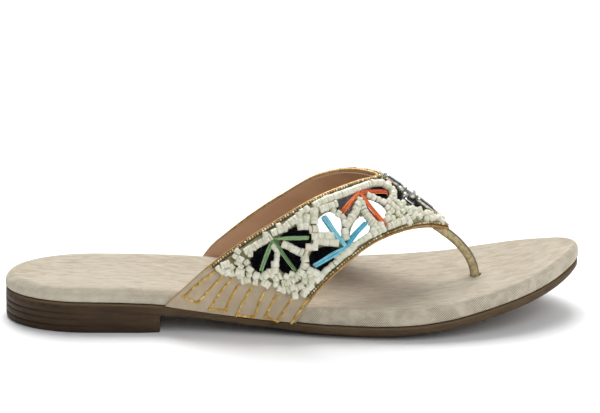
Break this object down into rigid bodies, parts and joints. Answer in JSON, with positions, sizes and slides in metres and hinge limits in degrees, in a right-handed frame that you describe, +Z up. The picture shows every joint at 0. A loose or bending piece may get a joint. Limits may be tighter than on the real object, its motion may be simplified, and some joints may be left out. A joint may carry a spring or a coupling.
{
  "type": "thong sandal",
  "caption": "Flat thong sandal: beaded V strap with leaf mirrors, raffia motifs and jewels, leather toe post, cloth-wrapped footbed, low stacked heel.",
  "frame": {"origin": "middle of the shoe's box in plan, on the floor under the heel lift and the forefoot", "axes": "+X from the heel end to the toe tip, +Y to the inner side of the foot, +Z up"},
  "size_m": [0.256, 0.082, 0.0638],
  "materials": {
    "sole_brown": "brown moulded sole with a soft sheen and fine grooves on the heel",
    "lift_brown": "dull dark brown top lift",
    "cream_cloth": "cream wrapped cloth with a fine diagonal twill and a rubbed rounded edge",
    "taupe_cloth": "taupe fine-grained leather outside with a gold meander stitch, smooth brown lining inside",
    "gold_leather": "warm gold metallic leather with crackled highlights",
    "gold_chain": "antique gold bead chain",
    "cream_bead": "cream shell disc beads strung in short tubes",
    "smoke_mirror": "smoked dark mirror",
    "silver_mirror": "pale silver mirror",
    "dark_metal": "dark polished metal",
    "crystal": "cut clear and grey stones",
    "raffia_green": "green raffia strand bundles",
    "raffia_blue": "turquoise raffia strand bundles",
    "raffia_orange": "orange raffia strand bundles"
  },
  "bodies": {
    "root": {"outsole": "sole_brown", "heel_stack": "sole_brown", "heel_lift": "lift_brown", "footbed": "cream_cloth", "upper": "taupe_cloth", "piping_rear": "gold_leather", "piping_front": "gold_leather", "chain_rear": "gold_chain", "chain_front": "gold_chain", "bead_field": "cream_bead", "toe_post": "gold_leather", "jewel_setting": "dark_metal", "mirror_green_top_outer": "smoke_mirror", "mirror_green_low_outer": "smoke_mirror", "mirror_green_mid_outer": "smoke_mirror", "raffia_green_outer": "raffia_green", "mirror_green_top_inner": "smoke_mirror", "mirror_green_low_inner": "smoke_mirror", "mirror_green_mid_inner": "smoke_mirror", "raffia_green_inner": "raffia_green", "mirror_blue_top_outer": "silver_mirror", "mirror_blue_low_outer": "smoke_mirror", "mirror_blue_mid_outer": "silver_mirror", "raffia_blue_outer": "raffia_blue", "mirror_blue_top_inner": "silver_mirror", "mirror_blue_low_inner": "smoke_mirror", "mirror_blue_mid_inner": "silver_mirror", "raffia_blue_inner": "raffia_blue", "mirror_orange_low_outer": "smoke_mirror", "mirror_orange_mid_outer": "silver_mirror", "mirror_orange_top_outer": "smoke_mirror", "raffia_orange_outer": "raffia_orange", "mirror_orange_low_inner": "smoke_mirror", "mirror_orange_mid_inner": "silver_mirror", "mirror_orange_top_inner": "smoke_mirror", "raffia_orange_inner": "raffia_orange", "stone_centre": "crystal", "stone_baguette_rear": "crystal", "stone_baguette_front": "crystal", "stone_bar_outer": "crystal", "stone_bar_inner": "crystal", "stone_round_outer_rear": "crystal", "stone_round_inner_rear": "crystal", "stone_round_outer": "crystal", "stone_round_inner": "crystal", "stone_end": "crystal"}
  },
  "joints": []
}
